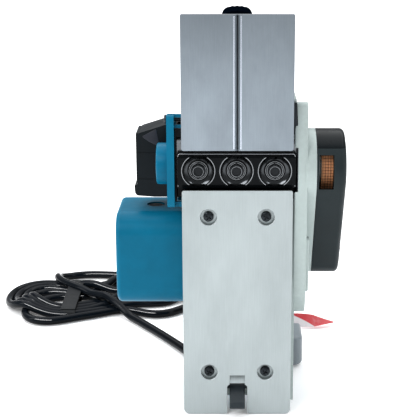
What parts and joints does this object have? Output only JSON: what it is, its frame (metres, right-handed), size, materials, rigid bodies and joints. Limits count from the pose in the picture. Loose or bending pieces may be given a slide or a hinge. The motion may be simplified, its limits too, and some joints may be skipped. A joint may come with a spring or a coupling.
{
  "type": "electric hand planer",
  "caption": "Electric hand planer with split sole, belt-driven cutter drum, cross motor, depth knob, side chip chute and closed handle, standing on its tail with its mains cord in a tied hank.",
  "frame": {"origin": "under the middle of the tool's own bounding box (without the cord and plug), at the height of the tail, which the planer stands on", "axes": "+Z from tail to toe, -Y out of the sole, +X to the belt cover side; the planer stands on its tail as in the picture"},
  "size_m": [0.2869, 0.3232, 0.286],
  "materials": {
    "machined_aluminium": "machined, satin",
    "cast_aluminium": "fine cast, satin",
    "teal_plastic": "moulded, satin",
    "black_plastic": "moulded, fine grain",
    "black_drum": "black anodised",
    "black_steel": "black oxide",
    "bright_steel": "ground",
    "winding_copper": "enamelled copper on steel laminations",
    "belt_rubber": "ribbed rubber with fabric face",
    "cord_rubber": "glossy rubber sheath",
    "plug_plastic": "moulded"
  },
  "bodies": {
    "frame": {"bearing_plate": "teal_plastic", "bearing_plate_screw": "black_steel", "belt_cover": "black_plastic", "belt_cover_screw_1": "black_steel", "belt_cover_screw_2": "black_steel", "brush_cap_1": "black_plastic", "brush_cap_2": "black_plastic", "brush_holder_1": "winding_copper", "brush_holder_2": "winding_copper", "chip_chute": "black_plastic", "cord_guard": "cord_rubber", "cord_hank": "cord_rubber", "cord_lead": "cord_rubber", "cord_tail": "cord_rubber", "depth_scale_ring": "black_plastic", "depth_spring": "bright_steel", "drive_belt": "belt_rubber", "drum_bearing_left": "bright_steel", "drum_bearing_right": "bright_steel", "dust_shield": "black_plastic", "handle_left": "teal_plastic", "handle_right": "teal_plastic", "handle_screw_1": "black_steel", "handle_screw_2": "black_steel", "main_frame": "cast_aluminium", "motor_bearing_drive": "bright_steel", "motor_bearing_rear": "bright_steel", "motor_housing": "teal_plastic", "plug": "plug_plastic", "rear_base": "machined_aluminium", "rear_base_screw_1": "black_steel", "rear_base_screw_2": "black_steel", "rear_base_screw_3": "black_steel", "rear_base_screw_4": "black_steel", "stator": "black_steel", "switch_body": "black_plastic"},
    "armature": {"armature_shaft": "bright_steel", "armature_core": "winding_copper", "commutator": "winding_copper", "fan": "black_plastic", "motor_pulley": "cast_aluminium"},
    "drum": {"cutter_drum": "black_drum", "blade_1": "bright_steel", "blade_2": "bright_steel", "clamp_plate_1": "black_drum", "clamp_plate_2": "black_drum", "clamp_bolt_1": "black_steel", "clamp_bolt_2": "black_steel", "clamp_bolt_3": "black_steel", "clamp_bolt_4": "black_steel", "clamp_bolt_5": "black_steel", "clamp_bolt_6": "black_steel", "drum_pulley": "cast_aluminium"},
    "front_base": {"front_base": "machined_aluminium"},
    "knob": {"front_knob": "black_plastic", "depth_stud": "bright_steel"},
    "trigger": {"trigger": "black_plastic"},
    "lock_button": {"lock_button": "black_plastic"},
    "foot": {"foot": "black_plastic"}
  },
  "joints": [
    {"name": "drum_spin", "type": "hinge", "parent": "frame", "child": "drum", "pos_m": [0.0053, -0.047, 0.179], "axis": [1, 0, 0], "continuous": true},
    {"name": "armature_spin", "type": "hinge", "parent": "frame", "child": "armature", "pos_m": [0.0053, -0.015, 0.1066], "axis": [1, 0, 0], "continuous": true},
    {"name": "knob_turn", "type": "hinge", "parent": "frame", "child": "knob", "pos_m": [0.0053, -0.015, 0.258], "axis": [0, 1, 0], "range_deg": [0, 300]},
    {"name": "front_base_slide", "type": "slide", "parent": "frame", "child": "front_base", "axis": [0, 1, 0], "range_m": [0, 0.001]},
    {"name": "trigger_pull", "type": "hinge", "parent": "frame", "child": "trigger", "pos_m": [0.0053, 0.0625, 0.16], "axis": [1, 0, 0], "range_deg": [0, 9], "stiffness_Nm_per_rad": 1.2, "springref_deg": -5.73},
    {"name": "lock_button_press", "type": "slide", "parent": "frame", "child": "lock_button", "axis": [1, 0, 0], "range_m": [0, 0.0025], "stiffness_N_per_m": 600, "springref_m": -0.001},
    {"name": "foot_swing", "type": "hinge", "parent": "frame", "child": "foot", "pos_m": [0.0053, -0.0655, 0.0195], "axis": [1, 0, 0], "range_deg": [0, 32], "stiffness_Nm_per_rad": 0.05, "springref_deg": -17.19}
  ],
  "couplings": [
    {"joint": "armature_spin", "follows": "drum_spin", "ratio": 1.5},
    {"joint": "front_base_slide", "follows": "knob_turn", "m_per_rad": 0.00019}
  ]
}
